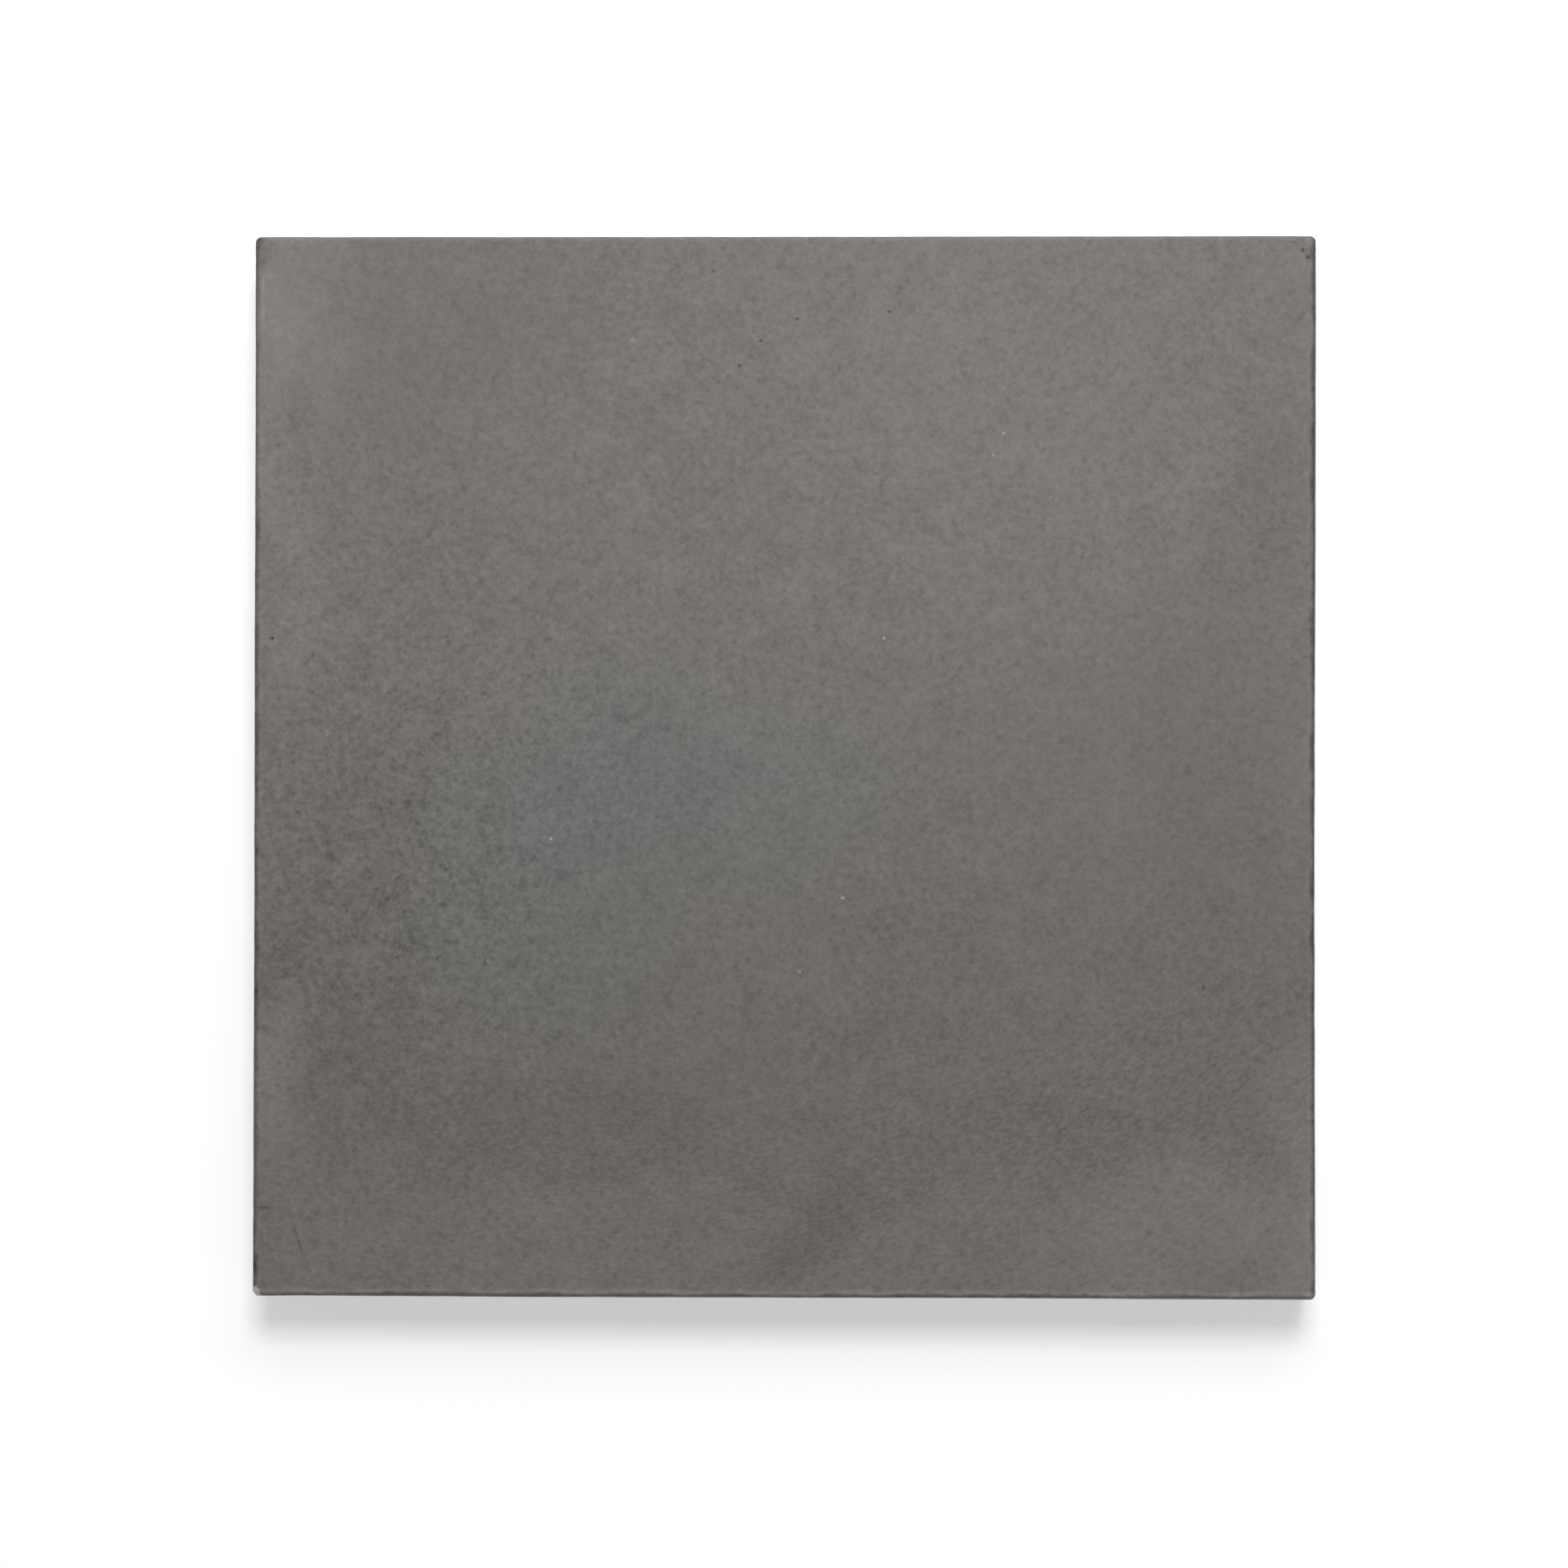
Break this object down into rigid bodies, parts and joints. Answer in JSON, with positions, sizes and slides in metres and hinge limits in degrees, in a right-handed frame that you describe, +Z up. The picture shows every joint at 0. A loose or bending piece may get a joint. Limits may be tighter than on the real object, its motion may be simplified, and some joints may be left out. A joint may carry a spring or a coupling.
{
  "type": "concrete paving slab",
  "caption": "Square concrete paving slab with a smooth flat wearing face, rounded arrises and plain upright joint sides, laid on a bed to pave paths and terraces.",
  "frame": {"origin": "middle of the bedding face, which is the underside", "axes": "+Z up out of the wearing face, +X along one side and +Y along the next side, towards the top of the picture"},
  "size_m": [0.4, 0.4, 0.04],
  "materials": {
    "concrete": "matte, smooth pressed face"
  },
  "bodies": {
    "root": {"slab": "concrete"}
  },
  "joints": []
}
